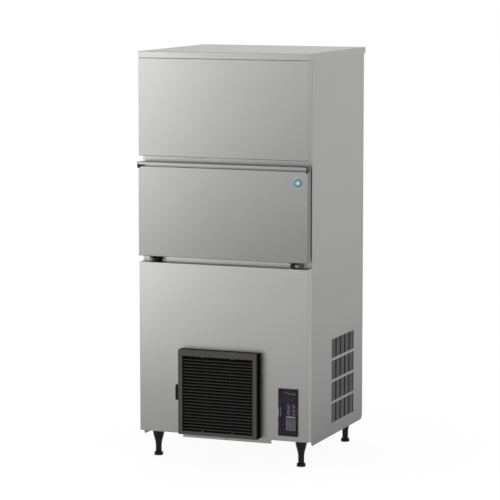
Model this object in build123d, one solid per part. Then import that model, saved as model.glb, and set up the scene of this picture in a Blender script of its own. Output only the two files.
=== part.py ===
# A free-standing ice cube maker. Its base holds the cooling machinery, its middle an insulated
# ice bin behind a door that tilts down, and its top a spray evaporator over a swinging water plate.
# The front looks along -Y, +X is to the right seen from the front, and the floor is at z = 0.
# All sizes are in millimetres.

from build123d import *
import math
import os

os.makedirs("parts", exist_ok=True)

# Cabinet
cabinet_width = 704.0
cabinet_depth = 665.0
cabinet_height = 1510.0
leg_gap = 90.0
sheet = 1.2
seam = 0.8
fold_radius = 2.4
top_lip = 25.0
rear_overhang = 20.0
side_flange = 14.0
side_drop = 4.0
front_corner_cut_y = 6.0
front_corner_cut_z = 10.0
rear_corner_cut = 15.0

# Front panels
panel_return = 40.0
panel_foot_gap = 17.5
lower_panel_height = 671.0
hinge_gap = 24.0
door_height = 369.0
recess_gap = 22.0

# Base pan, legs and feet
pan_lift = 10.0
pan_thickness = 1.5
pan_flange = 22.0
leg_side_inset = 51.0
leg_front_inset = 65.0
leg_rear_inset = 81.0
leg_top_radius = 23.0
leg_waist_radius = 12.0
leg_ankle = 25.0
leg_curve_steps = 4
foot_flange_radius = 17.7
foot_flange_height = 13.0
foot_edge_chamfer = 2.5
stud_radius = 5.0
stud_length = 48.0
stud_clearance = 0.25
strip_width = 372.0
strip_height = 26.0
strip_drop = 6.0

# Insulated bin
compartment_height = 390.0
side_insulation = 47.0
rear_insulation = 50.0
floor_insulation = 62.0
front_insulation = 43.0
liner_wall = 2.5
throat_side_inset = 13.8
throat_sill = 47.0
throat_head = 46.0
front_frame_reach = 30.0
front_frame_sheet = 1.2

# Door
door_side_gap = 1.0
door_proud = 6.0
door_skin_depth = 25.0
door_liner_sheet = 2.5
door_plug_depth = 38.0
door_plug_gap = 8.0
gasket_inset = 17.0
gasket_width = 18.0
gasket_clearance = 0.3
handle_height = 21.0
handle_reach = 11.0
handle_lip_height = 10.0
handle_wall = 3.0
handle_floor = 2.0
handle_channel_depth = 20.0
handle_cap_width = 3.0
handle_cap_drop = 4.0

# Door hinges
hinge_side_inset = 58.0
hinge_axis_drop = 13.0
hinge_axis_behind_face = 15.0
hinge_knuckle_radius = 7.5
hinge_knuckle_width = 13.0
hinge_leaf_width = 5.0
hinge_side_clearance = 0.4
hinge_pin_radius = 3.0
hinge_pin_clearance = 0.05
hinge_plate_width = 46.0
hinge_plate_height = 44.0
hinge_plate_thickness = 1.6
leaf_plate_width = 40.0
leaf_plate_thickness = 2.0

# Front louvre and air filter
louvre_width = 330.0
louvre_height = 335.5
louvre_depth = 38.0
louvre_left = -173.5
louvre_bottom = 111.0
louvre_side_border = 18.0
louvre_top_border = 24.0
louvre_bottom_border = 15.0
louvre_edge_radius = 2.5
slat_count = 23
slat_thickness = 2.0
slat_setback = 4.0
slat_depth = 12.0
slat_fall = 7.0
rib_thickness = 4.0
clip_width = 9.0
clip_height = 4.0
clip_depth = 6.0
clip_spacing = 124.0
filter_thickness = 6.0
filter_setback = 19.0
filter_clearance = 0.5
filter_window_count = 5
filter_bar = 6.0
filter_mesh = 0.8
filter_grip_height = 62.0
filter_grip_reach = 17.0
filter_grip_depth = 16.0
filter_grip_radius = 8.0

# Control window
window_width = 79.0
window_height = 184.0
window_side_inset = 41.0
window_bottom = 129.0
bezel_thickness = 1.5
bezel_rim = 3.0
bezel_rim_height = 4.2
well_wall = 2.0
well_inset = 3.0
well_depth = 30.0
fascia_depth = 14.0
fascia_thickness = 2.0
cover_thickness = 2.4
cover_clearance = 0.8
cover_lift = 1.1
cover_pin_radius = 1.1
cover_pin_length = 2.2
cover_pin_clearance = 0.05
cover_pin_inset = 1.5
cover_tab_height = 36.0
cover_tab_reach = 2.4
rocker_width = 17.0
rocker_height = 27.0
rocker_depth = 8.0
rocker_clearance = 0.4
rocker_rise = 3.0
rocker_boss_radius = 1.8
rocker_boss_height = 0.3
switch_side_inset = 35.0
switch_centre_z = 170.0
button_radius = 5.0
button_travel = 2.0
button_rise = 3.5
button_clearance = 0.3
button_centre_z = 272.0

# Air vents
vent_rows = 4
vent_length = 262.0
vent_height = 75.0
vent_bar = 11.0
vent_bottom = 136.0
vent_front_y = 272.0
vent_blades = 5
vent_blade_thickness = 1.6
vent_frame = 9.0
vent_depth = 14.0
rear_slot_rows = 3
rear_slot_columns = 8
rear_slot_width = 42.0
rear_slot_height = 9.0
rear_slot_pitch_x = 54.0
rear_slot_pitch_z = 24.0
rear_slot_bottom = 330.0

# Cooling machinery
condenser_gap = 8.0
condenser_depth = 44.0
condenser_fin_count = 26
condenser_fin_groove = 6.0
condenser_fin_sheet = 2.0
condenser_header = 12.0
shroud_depth = 40.0
shroud_sheet = 2.0
fan_radius = 118.0
fan_tip_clearance = 5.0
fan_hub_radius = 22.0
fan_hub_length = 22.0
fan_blade_count = 5
fan_blade_width = 70.0
fan_blade_sheet = 1.6
fan_blade_pitch = 28.0
fan_bore_clearance = 0.05
motor_radius = 42.0
motor_length = 58.0
motor_shaft_radius = 4.0
motor_gap = 12.0
motor_post_width = 30.0
compressor_radius = 76.0
compressor_height = 205.0
compressor_crown = 24.0
compressor_side_gap = 145.8
compressor_rear_gap = 202.6
compressor_foot = 12.0
compressor_plate = 190.0
compressor_plate_sheet = 3.0
drier_radius = 19.0
drier_height = 118.0
drier_gap = 6.0
drier_stub = 14.0
pipe_radius = 4.8
pipe_bend = 18.0
suction_radius = 6.0
control_box_width = 150.0
control_box_depth = 170.0
control_box_height = 118.0
control_box_side_gap = 10.8
control_box_front = 70.0

# Ice making unit
cell_columns = 12
cell_rows = 8
cell_size = 28.0
cell_wall = 2.6
cell_depth = 29.0
tray_skin = 3.0
ice_unit_drop = 160.5
ice_unit_middle_y = 300.0
plate_gap = 1.5
plate_thickness = 13.0
plate_margin = 8.0
jet_size = 4.0
plate_arm_width = 10.0
pivot_behind_tray = 34.0
pivot_radius = 5.0
pivot_clearance = 0.05
tank_depth = 72.0
tank_wall = 2.5
tank_inset = 14.0
pump_radius = 34.0
pump_height = 66.0
pump_gap = 8.0
unit_side_gap = 34.8
unit_plate_sheet = 2.0
unit_plate_front = 88.0
unit_plate_rear = 500.0
unit_plate_foot = 22.0
unit_bar_width = 26.0
unit_bar_inset = 24.0
hanger_width = 12.0
coil_width = 9.0
coil_height = 8.0
coil_runs = 8
coil_end_inset = 26.0
coil_side_inset = 38.0
cam_y = 132.0
cam_rise = 66.0
cam_arm_length = 66.0
cam_arm_lead = 14.0
cam_arm_width = 14.0
cam_arm_sheet = 4.0
cam_arm_gap = 11.1
cam_shaft_radius = 5.0
cam_shaft_clearance = 0.05
spring_radius = 6.0
spring_pin_radius = 2.5
spring_pin_clearance = 0.3
gear_motor_width = 28.0
gear_motor_depth = 66.0
gear_motor_height = 62.0

# Water, drain and power at the rear
valve_x = -220.0
valve_z = 420.0
valve_body = 36.0
valve_thread_radius = 13.2
valve_neck_radius = 12.0
valve_bore_radius = 9.0
valve_thread_length = 14.2
valve_collar_radius = 17.0
valve_coil_radius = 15.0
valve_coil_height = 34.0
drain_x = -110.0
drain_rear_gap = 82.6
drain_z = 430.0
drain_pipe_radius = 11.5
drain_spigot_radius = 12.5
drain_bore_radius = 10.0
drain_spigot_length = 14.2
drain_collar_radius = 16.0
collar_thickness = 3.0
drain_clearance = 0.3
gland_x = 230.0
gland_z = 150.0
gland_radius = 11.0
gland_bore_radius = 4.5
gland_reach = 15.0
gland_nut = 5.0
hole_clearance = 0.3

# Bin sensor
sensor_radius = 5.0
sensor_length = 90.0
sensor_y = 330.0
sensor_below_top = 60.0
sensor_clip = 8.0

# Screws
screw_head_radius = 5.0
screw_head_height = 2.2
screw_edge_inset = 26.0
strip_screw_x = -5.0

# Places that follow from the sizes above
overall_depth = cabinet_depth + louvre_depth
face_y = louvre_depth - overall_depth / 2
half_width = cabinet_width / 2
inner_x = half_width - sheet
cabinet_bottom = leg_gap
cabinet_top = leg_gap + cabinet_height
lip_bottom = cabinet_top - top_lip
lower_panel_bottom = cabinet_bottom + panel_foot_gap
lower_panel_top = lower_panel_bottom + lower_panel_height
door_bottom = lower_panel_top + hinge_gap
door_top = door_bottom + door_height
upper_panel_bottom = door_top + recess_gap
upper_panel_top = lip_bottom - seam
side_front_y = face_y + panel_return + seam
frame_front_y = side_front_y + sheet
bin_front_y = frame_front_y + front_frame_sheet
rear_y = face_y + cabinet_depth - rear_overhang
rear_panel_y = rear_y - 2 * sheet
rear_skin_y = rear_panel_y + sheet
collar_y = rear_skin_y + collar_thickness
pan_bottom = cabinet_bottom + pan_lift
pan_top = pan_bottom + pan_thickness
leg_offset_x = half_width - leg_side_inset
bin_bottom = cabinet_bottom + compartment_height
bin_top = upper_panel_bottom
cavity_x = inner_x - side_insulation
cavity_front = bin_front_y + front_insulation
cavity_rear = rear_panel_y - rear_insulation
cavity_floor = bin_bottom + floor_insulation
throat_half_width = cavity_x - throat_side_inset
throat_bottom = door_bottom + throat_sill
throat_top = door_top - throat_head
door_half = half_width - door_side_gap
door_face = face_y - door_proud
door_back = door_face + door_skin_depth
door_liner_back = door_back + door_liner_sheet
handle_bottom = door_top - handle_height
handle_half = door_half - handle_cap_width
hinge_y = door_face + hinge_axis_behind_face
hinge_z = door_bottom - hinge_axis_drop
hinge_offset_x = half_width - hinge_side_inset
louvre_right = louvre_left + louvre_width
louvre_top = louvre_bottom + louvre_height
louvre_face = face_y - louvre_depth
grille_left = louvre_left + louvre_side_border
grille_right = louvre_right - louvre_side_border
grille_bottom = louvre_bottom + louvre_bottom_border
grille_top = louvre_top - louvre_top_border
grille_middle_x = (grille_left + grille_right) / 2
grille_middle_z = (grille_bottom + grille_top) / 2
filter_front = louvre_face + filter_setback
filter_back = filter_front + filter_thickness
window_right = half_width - window_side_inset
window_left = window_right - window_width
window_top = window_bottom + window_height
well_left = window_left + well_inset
well_right = window_right - well_inset
well_bottom = window_bottom + well_inset
well_top = window_top - well_inset
bezel_face = face_y - bezel_thickness
cover_back = bezel_face - cover_lift
cover_front = cover_back - cover_thickness
cover_left = window_left + bezel_rim + cover_clearance
cover_right = window_right - bezel_rim - cover_clearance
cover_bottom = window_bottom + bezel_rim + cover_clearance
cover_top = window_top - bezel_rim - cover_clearance
cover_axis_x = cover_right - cover_pin_inset
cover_axis_y = (cover_front + cover_back) / 2
fascia_front = face_y + fascia_depth
switch_centre_x = window_right - switch_side_inset
tray_width = cell_columns * (cell_size + cell_wall) + cell_wall
tray_depth = cell_rows * (cell_size + cell_wall) + cell_wall
tray_bottom = cabinet_top - ice_unit_drop
tray_top = tray_bottom + cell_depth + tray_skin
unit_y = face_y + ice_unit_middle_y
tray_front = unit_y - tray_depth / 2
tray_rear = unit_y + tray_depth / 2
plate_top = tray_bottom - plate_gap
plate_bottom = plate_top - plate_thickness
plate_half = tray_width / 2 + plate_margin
cam_arm_x = plate_half + cam_arm_gap
unit_plate_x = inner_x - unit_side_gap
pivot_y = tray_rear + pivot_behind_tray
pivot_z = (plate_top + plate_bottom) / 2
cam_axis_y = face_y + cam_y
cam_axis_z = pivot_z + cam_rise
spring_y = cam_axis_y - cam_arm_lead
spring_top = cam_axis_z + cam_arm_length
bar_top = tray_top + unit_bar_inset + unit_bar_width
compressor_x = inner_x - compressor_side_gap
compressor_y = rear_panel_y - compressor_rear_gap
drain_y = rear_panel_y - drain_rear_gap


def block(x, y, z):
    """A rectangular solid between two places on each axis."""
    size = [high - low for low, high in (x, y, z)]
    middle = [(high + low) / 2 for low, high in (x, y, z)]
    return Pos(*middle) * Box(*size)


def rod(start, end, radius):
    """A round bar from one point to another."""
    run = Vector(*end) - Vector(*start)
    centred = (Align.CENTER, Align.CENTER, Align.MIN)
    return Plane(origin=start, z_dir=run) * Cylinder(radius, run.length, align=centred)


def turned(outline, x, y):
    """A solid of revolution about an upright axis, from closed (radius, height) edges."""
    profile = Plane.XZ * make_face(outline)
    return Pos(x, y, 0) * revolve(profile, Axis.Z)


def outlined(points):
    """A closed outline through the points."""
    return Polyline(*points, close=True)


def along_x(points, x0, x1):
    """A bar along X whose section is a closed (y, z) outline."""
    section = Plane.YZ * make_face(outlined(points))
    return Pos(x0, 0, 0) * extrude(section, x1 - x0)


def tube_along(points, bends, radius):
    """A round pipe along straight runs joined by arcs."""
    path = FilletPolyline(*points, radius=bends)
    section = Plane(origin=path @ 0, z_dir=path % 0) * Circle(radius)
    return sweep(section, path=path)


def mitred_tube(places, radius):
    """A round bar down from one height to another, then back to a y, with a sharp corner."""
    top, corner_z, end_y = places
    path = Polyline((drain_x, drain_y, top), (drain_x, drain_y, corner_z), (drain_x, end_y, corner_z))
    section = Plane(origin=path @ 0, z_dir=path % 0) * Circle(radius)
    return sweep(section, path=path, transition=Transition.RIGHT)


def leg_places():
    """The name and centre of each of the four legs."""
    fronts = (
        ("front", face_y + leg_front_inset),
        ("rear", face_y + cabinet_depth - leg_rear_inset),
    )
    sides = (("left", -leg_offset_x), ("right", leg_offset_x))
    return [(f"{end}_{side}", x, y) for end, y in fronts for side, x in sides]


# Outer skin

def front_tray(bottom, top):
    """A folded front panel: a face with four returns, its front edges softly rounded."""
    outer = block((-half_width, half_width), (face_y, face_y + panel_return), (bottom, top))
    outer = fillet(outer.edges().group_by(Axis.Y)[0], fold_radius)
    inner = block((-inner_x, inner_x), (face_y + sheet, face_y + panel_return),
                  (bottom + sheet, top - sheet))
    return outer - inner


def upper_front_panel():
    return front_tray(upper_panel_bottom, upper_panel_top)


def lower_front_panel():
    panel = front_tray(lower_panel_bottom, lower_panel_top)
    through = (face_y - seam, face_y + sheet + seam)
    panel -= block((grille_left, grille_right), through, (grille_bottom, grille_top))
    panel -= block((well_left, well_right), through, (well_bottom, well_top))
    return panel


def top_panel():
    """A shallow lid with a lip all round and rounded outer edges."""
    y = (face_y, face_y + cabinet_depth)
    outer = block((-half_width, half_width), y, (lip_bottom, cabinet_top))
    edges = outer.edges().filter_by(Axis.Z) + outer.edges().group_by(Axis.Z)[-1]
    outer = fillet(edges, fold_radius)
    inner_y = (y[0] + sheet, y[1] - sheet)
    return outer - block((-inner_x, inner_x), inner_y, (lip_bottom, cabinet_top - sheet))


def side_panel(side):
    """A side skin with front and rear flanges and cut lower corners; side is -1 or 1."""
    low = cabinet_bottom - side_drop
    outline = outlined([
        (side_front_y, low + front_corner_cut_z),
        (side_front_y + front_corner_cut_y, low),
        (rear_y - rear_corner_cut, low),
        (rear_y, low + rear_corner_cut),
        (rear_y, lip_bottom),
        (side_front_y, lip_bottom),
    ])
    skin = Pos(inner_x, 0, 0) * extrude(Plane.YZ * make_face(outline), sheet)
    flange_x = (half_width - side_flange, half_width)
    flange_z = (pan_top + pan_flange, lip_bottom)
    for flange_y in ((side_front_y, side_front_y + sheet), (rear_y - sheet, rear_y)):
        skin += block(flange_x, flange_y, flange_z)
    if side < 0:
        skin = mirror(skin, Plane.YZ)
    return skin


def vent_row_bottoms():
    return [vent_bottom + row * (vent_height + vent_bar) for row in range(vent_rows)]


def right_side_panel():
    skin = side_panel(1)
    front = face_y + vent_front_y
    for bottom in vent_row_bottoms():
        skin -= block((inner_x - seam, half_width + seam), (front, front + vent_length),
                      (bottom, bottom + vent_height))
    return skin


def side_vent_grille():
    """A dark frame behind the four windows of the right side, with flat upright blades."""
    front = face_y + vent_front_y
    outer_top = vent_row_bottoms()[-1] + vent_height + vent_frame
    grille = block((inner_x - vent_depth, inner_x),
                   (front - vent_frame, front + vent_length + vent_frame),
                   (vent_bottom - vent_frame, outer_top))
    pitch = vent_length / vent_blades
    blade_back = inner_x - vent_blade_thickness
    blade_face = outlined([
        (inner_x - vent_depth, 0),
        (inner_x, 0),
        (inner_x, pitch / 2),
        (blade_back, pitch / 2),
        (blade_back, vent_blade_thickness),
        (inner_x - vent_depth, vent_blade_thickness),
    ])
    windows = []
    blades = []
    for bottom in vent_row_bottoms():
        windows.append(block((inner_x - vent_depth, inner_x), (front, front + vent_length),
                             (bottom, bottom + vent_height)))
        for number in range(vent_blades):
            start = front + (number + 1 / 4) * pitch
            blades.append(Pos(0, start, bottom) * extrude(make_face(blade_face), vent_height))
    return grille - windows + blades


def rear_panel():
    """The rear skin, with air slots low down and holes for water, drain and power."""
    y = (rear_panel_y, rear_skin_y)
    through = (y[0] - seam, y[1] + seam)
    skin = block((-inner_x, inner_x), y, (pan_bottom, lip_bottom))
    cuts = []
    for row in range(rear_slot_rows):
        for column in range(rear_slot_columns):
            x = (column - (rear_slot_columns - 1) / 2) * rear_slot_pitch_x
            z = rear_slot_bottom - row * rear_slot_pitch_z
            cuts.append(block((x - rear_slot_width / 2, x + rear_slot_width / 2), through,
                              (z, z + rear_slot_height)))
    holes = (
        (valve_x, valve_z, valve_neck_radius),
        (drain_x, drain_z, drain_pipe_radius),
        (gland_x, gland_z, gland_radius - gland_nut / 2),
    )
    for x, z, radius in holes:
        cuts.append(rod((x, through[0], z), (x, through[1], z), radius + hole_clearance))
    return skin - cuts


def cabinet_front_frame():
    """The flat frame round the bin's mouth that the door's seal meets."""
    y = (frame_front_y, bin_front_y)
    plate = block((-inner_x, inner_x), y,
                  (lower_panel_top - front_frame_reach, upper_panel_bottom + front_frame_reach))
    return plate - block((-throat_half_width, throat_half_width), y, (throat_bottom, throat_top))


def base_pan():
    """The floor tray that carries the machinery and the legs."""
    y = (bin_front_y, rear_panel_y)
    outer = block((-inner_x, inner_x), y, (pan_bottom, pan_top + pan_flange))
    inner = block((-inner_x + pan_thickness, inner_x - pan_thickness),
                  (y[0] + pan_thickness, y[1] - pan_thickness), (pan_top, pan_top + pan_flange))
    return outer - inner


def front_base_strip():
    """A strip on the pan's front flange that shows under the lower panel."""
    low = cabinet_bottom - strip_drop
    return block((-strip_width / 2, strip_width / 2), (frame_front_y, bin_front_y),
                 (low, low + strip_height))


# Insulated bin

def drain_hole(x, y, low, high):
    return rod((x, y, low), (x, y, high), drain_pipe_radius + drain_clearance)


def insulation_shell():
    """The insulating boards round the bin, open at the top and at the door's throat."""
    front_y = (bin_front_y, cavity_front)
    sides_z = (cavity_floor, bin_top)
    wide = throat_half_width + liner_wall
    throat_z = (throat_bottom - liner_wall, throat_top + liner_wall)
    floor = block((-inner_x, inner_x), (bin_front_y, rear_panel_y), (bin_bottom, cavity_floor))
    boards = [
        floor - drain_hole(drain_x, drain_y, bin_bottom, cavity_floor),
        block((-cavity_x, cavity_x), (cavity_rear, rear_panel_y), sides_z),
        block((-cavity_x, cavity_x), front_y, (cavity_floor, throat_z[0])),
        block((-cavity_x, cavity_x), front_y, (throat_z[1], bin_top)),
    ]
    for side in (-1, 1):
        wall_x = sorted((side * cavity_x, side * inner_x))
        cheek_x = sorted((side * wide, side * cavity_x))
        boards.append(block(wall_x, (bin_front_y, rear_panel_y), sides_z))
        boards.append(block(cheek_x, front_y, throat_z))
    return Compound(children=boards)


def bin_liner():
    """The moulded inner tub with its throat to the front."""
    tub = block((-cavity_x, cavity_x), (cavity_front, cavity_rear), (cavity_floor, bin_top))
    tub -= block((-cavity_x + liner_wall, cavity_x - liner_wall),
                 (cavity_front + liner_wall, cavity_rear - liner_wall),
                 (cavity_floor + liner_wall, bin_top))
    wide = throat_half_width + liner_wall
    tub += block((-wide, wide), (bin_front_y, cavity_front),
                 (throat_bottom - liner_wall, throat_top + liner_wall))
    tub -= block((-throat_half_width, throat_half_width),
                 (bin_front_y, cavity_front + liner_wall), (throat_bottom, throat_top))
    drain = drain_hole(drain_x, drain_y, cavity_floor, cavity_floor + liner_wall)
    return tub - drain


def bin_sensor():
    """The sensing tube near the top of the bin, in a clip on the right wall."""
    wall_x = cavity_x - liner_wall
    x = wall_x - sensor_clip
    z = bin_top - sensor_below_top
    middle = face_y + sensor_y
    ends = (middle - sensor_length / 2, middle + sensor_length / 2)
    bulb = rod((x, ends[0], z), (x, ends[1], z), sensor_radius)
    clip = block((x, wall_x), (middle - sensor_clip, middle + sensor_clip),
                 (z - sensor_radius, z + sensor_radius))
    return bulb + clip


# Door

def door_skin():
    """The folded outer face of the door, below the handle rail."""
    outer = block((-door_half, door_half), (door_face, door_back), (door_bottom, handle_bottom))
    edges = outer.edges().group_by(Axis.Y)[0].sort_by(Axis.Z)[:-1]
    outer = fillet(edges, fold_radius)
    inner = block((-door_half + sheet, door_half - sheet), (door_face + sheet, door_back),
                  (door_bottom + sheet, handle_bottom))
    return outer - inner


def plug_block(shrink, front, back):
    """The raised middle of the door's inner side, smaller all round by shrink."""
    wide = throat_half_width - door_plug_gap - shrink
    return block((-wide, wide), (front, back - shrink),
                 (throat_bottom + door_plug_gap + shrink, throat_top - door_plug_gap - shrink))


def door_foam():
    slab = block((-door_half + sheet, door_half - sheet), (door_face + sheet, door_back),
                 (door_bottom + sheet, handle_bottom))
    plug = plug_block(door_liner_sheet, door_back, door_liner_back + door_plug_depth)
    return slab + plug


def door_inner_liner():
    """The white inner face with its raised plug."""
    plate = block((-door_half, door_half), (door_back, door_liner_back), (door_bottom, door_top))
    plug = plug_block(0, door_back, door_liner_back + door_plug_depth)
    plug = fillet(plug.edges().group_by(Axis.Y)[-1], door_liner_sheet)
    hollow = plug_block(door_liner_sheet, door_back, door_liner_back + door_plug_depth)
    return plate + plug - hollow


def door_gasket():
    """The soft seal between the door and the frame."""
    y = (door_liner_back, frame_front_y - gasket_clearance)
    wide = door_half - gasket_inset
    low = door_bottom + gasket_inset
    high = door_top - gasket_inset
    ring = block((-wide, wide), y, (low, high))
    ring -= block((-wide + gasket_width, wide - gasket_width), y,
                  (low + gasket_width, high - gasket_width))
    return ring


def door_handle():
    """The finger rail along the door's top: a channel behind a forward lip."""
    lip_front = door_face - handle_reach
    lip_back = lip_front + handle_wall
    lip_low = door_top - handle_lip_height
    floor_top = handle_bottom + handle_floor
    roof = door_top - handle_wall
    channel_back = door_face + handle_channel_depth
    rail = along_x([
        (lip_front, lip_low),
        (lip_front, door_top),
        (door_back, door_top),
        (door_back, handle_bottom),
        (door_face, handle_bottom),
        (door_face, floor_top),
        (channel_back, floor_top),
        (channel_back, roof),
        (lip_back, roof),
        (lip_back, lip_low),
    ], -handle_half, handle_half)
    crest = rail.edges().filter_by(Axis.X).sort_by(lambda edge: edge.center().Y - edge.center().Z)
    return fillet(crest[0], handle_wall - sheet)


def handle_cap(side):
    """A plug that closes one end of the handle rail."""
    low = handle_bottom - handle_cap_drop
    front = door_face - handle_reach
    outline = outlined([
        (front, door_top),
        (door_back, door_top),
        (door_back, handle_bottom),
        (door_face, handle_bottom),
        (door_face, low),
        (front + handle_cap_drop, low),
        (front, handle_bottom),
    ])
    cap = Pos(handle_half, 0, 0) * extrude(Plane.YZ * make_face(outline), handle_cap_width)
    crest = cap.edges().filter_by(Axis.X).sort_by(lambda edge: edge.center().Y - edge.center().Z)
    cap = fillet(crest[0], handle_wall - sheet)
    if side < 0:
        cap = mirror(cap, Plane.YZ)
    return cap


# Door hinges

def hinge_bracket(side):
    """The fixed half of a hinge: a wall plate, two forked knuckles and the pin."""
    middle = side * hinge_offset_x
    half_fork = hinge_leaf_width / 2 + hinge_side_clearance
    outer = half_fork + hinge_knuckle_width
    plate_low = hinge_z - hinge_plate_height / 2
    plate_y = (frame_front_y - hinge_plate_thickness, frame_front_y)
    bracket = block((middle - hinge_plate_width / 2, middle + hinge_plate_width / 2), plate_y,
                    (plate_low, hinge_z + hinge_knuckle_radius))
    for low, high in ((-outer, -half_fork), (half_fork, outer)):
        x0 = middle + low
        x1 = middle + high
        bracket += rod((x0, hinge_y, hinge_z), (x1, hinge_y, hinge_z), hinge_knuckle_radius)
        bracket += block((x0, x1), (hinge_y, plate_y[0]),
                         (hinge_z - hinge_knuckle_radius, hinge_z + hinge_knuckle_radius))
    bracket += rod((middle - outer, hinge_y, hinge_z), (middle + outer, hinge_y, hinge_z),
                   hinge_pin_radius)
    return bracket


def hinge_leaf(side):
    """The moving half of a hinge: an eye on the pin and a plate under the door."""
    middle = side * hinge_offset_x
    x = (middle - hinge_leaf_width / 2, middle + hinge_leaf_width / 2)
    eye_radius = hinge_knuckle_radius - hinge_side_clearance
    leaf = rod((x[0], hinge_y, hinge_z), (x[1], hinge_y, hinge_z), eye_radius)
    leaf += block(x, (hinge_y - eye_radius, hinge_y + eye_radius), (hinge_z, door_bottom))
    leaf += block((middle - leaf_plate_width / 2, middle + leaf_plate_width / 2),
                  (door_face + fold_radius, door_back),
                  (door_bottom - leaf_plate_thickness, door_bottom))
    leaf -= rod((x[0], hinge_y, hinge_z), (x[1], hinge_y, hinge_z),
                hinge_pin_radius + hinge_pin_clearance)
    return leaf


# Front louvre and filter

def front_louvre():
    """The moulded intake: a deep frame, sloped slats, two ribs and a slot for the filter."""
    frame = block((louvre_left, louvre_right), (louvre_face, face_y), (louvre_bottom, louvre_top))
    corner = frame.edges().filter_by(Axis.Y) + frame.edges().group_by(Axis.Y)[0]
    frame = fillet(corner, louvre_edge_radius)
    frame -= block((grille_left, grille_right), (louvre_face, face_y), (grille_bottom, grille_top))
    frame -= block((louvre_left, grille_left),
                   (filter_front - filter_clearance, filter_back + filter_clearance),
                   (grille_bottom, grille_top))
    pitch = (grille_top - grille_bottom) / (slat_count + 1)
    slat_front = louvre_face + slat_setback
    slat_back = slat_front + slat_depth
    inside = []
    for number in range(slat_count):
        low = grille_bottom + (number + 1) * pitch - (slat_thickness + slat_fall) / 2
        inside.append(along_x([
            (slat_front, low),
            (slat_front, low + slat_thickness),
            (slat_back, low + slat_thickness + slat_fall),
            (slat_back, low + slat_fall),
        ], grille_left, grille_right))
    clip_y = (louvre_face + seam, louvre_face + seam + clip_depth)
    for side in (-1, 1):
        middle = grille_middle_x + side * clip_spacing / 2
        clip_x = (middle - clip_width / 2, middle + clip_width / 2)
        inside.append(block(clip_x, clip_y, (grille_bottom, grille_bottom + clip_height)))
        inside.append(block(clip_x, clip_y, (grille_top - clip_height, grille_top)))
    for share in (1 / 3, 2 / 3):
        x = grille_left + share * (grille_right - grille_left)
        inside.append(block((x - rib_thickness / 2, x + rib_thickness / 2),
                            (slat_back - rib_thickness, slat_back), (grille_bottom, grille_top)))
    return frame + inside


def air_filter():
    """The washable filter: a barred frame with fine mesh between, and a grip on its left end."""
    x = (louvre_left, grille_right - filter_clearance)
    z = (grille_bottom + filter_clearance, grille_top - filter_clearance)
    panel = block(x, (filter_front, filter_back), z)
    mesh = (filter_thickness - filter_mesh) / 2
    first = grille_left
    pitch_x = (x[1] - first) / filter_window_count
    pitch_z = (z[1] - z[0]) / filter_window_count
    windows = []
    for column in range(filter_window_count):
        for row in range(filter_window_count):
            x0 = first + column * pitch_x
            z0 = z[0] + row * pitch_z
            window_x = (x0 + filter_bar / 2, x0 + pitch_x - filter_bar / 2)
            window_z = (z0 + filter_bar / 2, z0 + pitch_z - filter_bar / 2)
            windows.append(block(window_x, (filter_front, filter_front + mesh), window_z))
            windows.append(block(window_x, (filter_back - mesh, filter_back), window_z))
    panel -= windows
    middle_y = (filter_front + filter_back) / 2
    grip = block((louvre_left - filter_grip_reach, louvre_left),
                 (middle_y - filter_grip_depth / 2, middle_y + filter_grip_depth / 2),
                 (grille_middle_z - filter_grip_height / 2, grille_middle_z + filter_grip_height / 2))
    outer = grip.edges().filter_by(Axis.Y).group_by(Axis.X)[0]
    return panel + fillet(outer, filter_grip_radius)


# Control window

def control_frame():
    """The dark bezel with its well, and ears for the cover's pins."""
    frame = block((window_left, window_right), (bezel_face - bezel_rim_height, face_y),
                  (window_bottom, window_top))
    rim = ((window_left + bezel_rim, window_right - bezel_rim),
           (window_bottom + bezel_rim, window_top - bezel_rim))
    frame -= block(rim[0], (bezel_face - bezel_rim_height, bezel_face), rim[1])
    tab_z = (window_bottom + window_height / 2 - cover_tab_height / 2 - cover_clearance,
             window_bottom + window_height / 2 + cover_tab_height / 2 + cover_clearance)
    frame -= block((window_left, rim[0][0]), (bezel_face - bezel_rim_height, bezel_face), tab_z)
    frame += block((well_left, well_right), (face_y, face_y + well_depth), (well_bottom, well_top))
    frame -= block((well_left + well_wall, well_right - well_wall),
                   (bezel_face, face_y + well_depth), (well_bottom + well_wall, well_top - well_wall))
    for low, high in ((window_bottom, cover_bottom), (cover_top, window_top)):
        frame -= rod((cover_axis_x, cover_axis_y, low + cover_clearance),
                     (cover_axis_x, cover_axis_y, high - cover_clearance),
                     cover_pin_radius + cover_pin_clearance)
    return frame


def control_cover():
    """The smoked cover with a finger tab on its left and a pin at each end of its right edge."""
    y = (cover_front, cover_back)
    cover = block((cover_left, cover_right), y, (cover_bottom, cover_top))
    middle = window_bottom + window_height / 2
    tab = block((cover_left - cover_tab_reach, cover_left), y,
                (middle - cover_tab_height / 2, middle + cover_tab_height / 2))
    cover += fillet(tab.edges().filter_by(Axis.Y).group_by(Axis.X)[0], cover_tab_reach * 0.8)
    pin_low = cover_bottom - cover_pin_length
    pin_high = cover_top + cover_pin_length
    for low, high in ((pin_low, cover_bottom), (cover_top, pin_high)):
        cover += rod((cover_axis_x, cover_axis_y, low), (cover_axis_x, cover_axis_y, high),
                     cover_pin_radius)
    return cover


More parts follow.
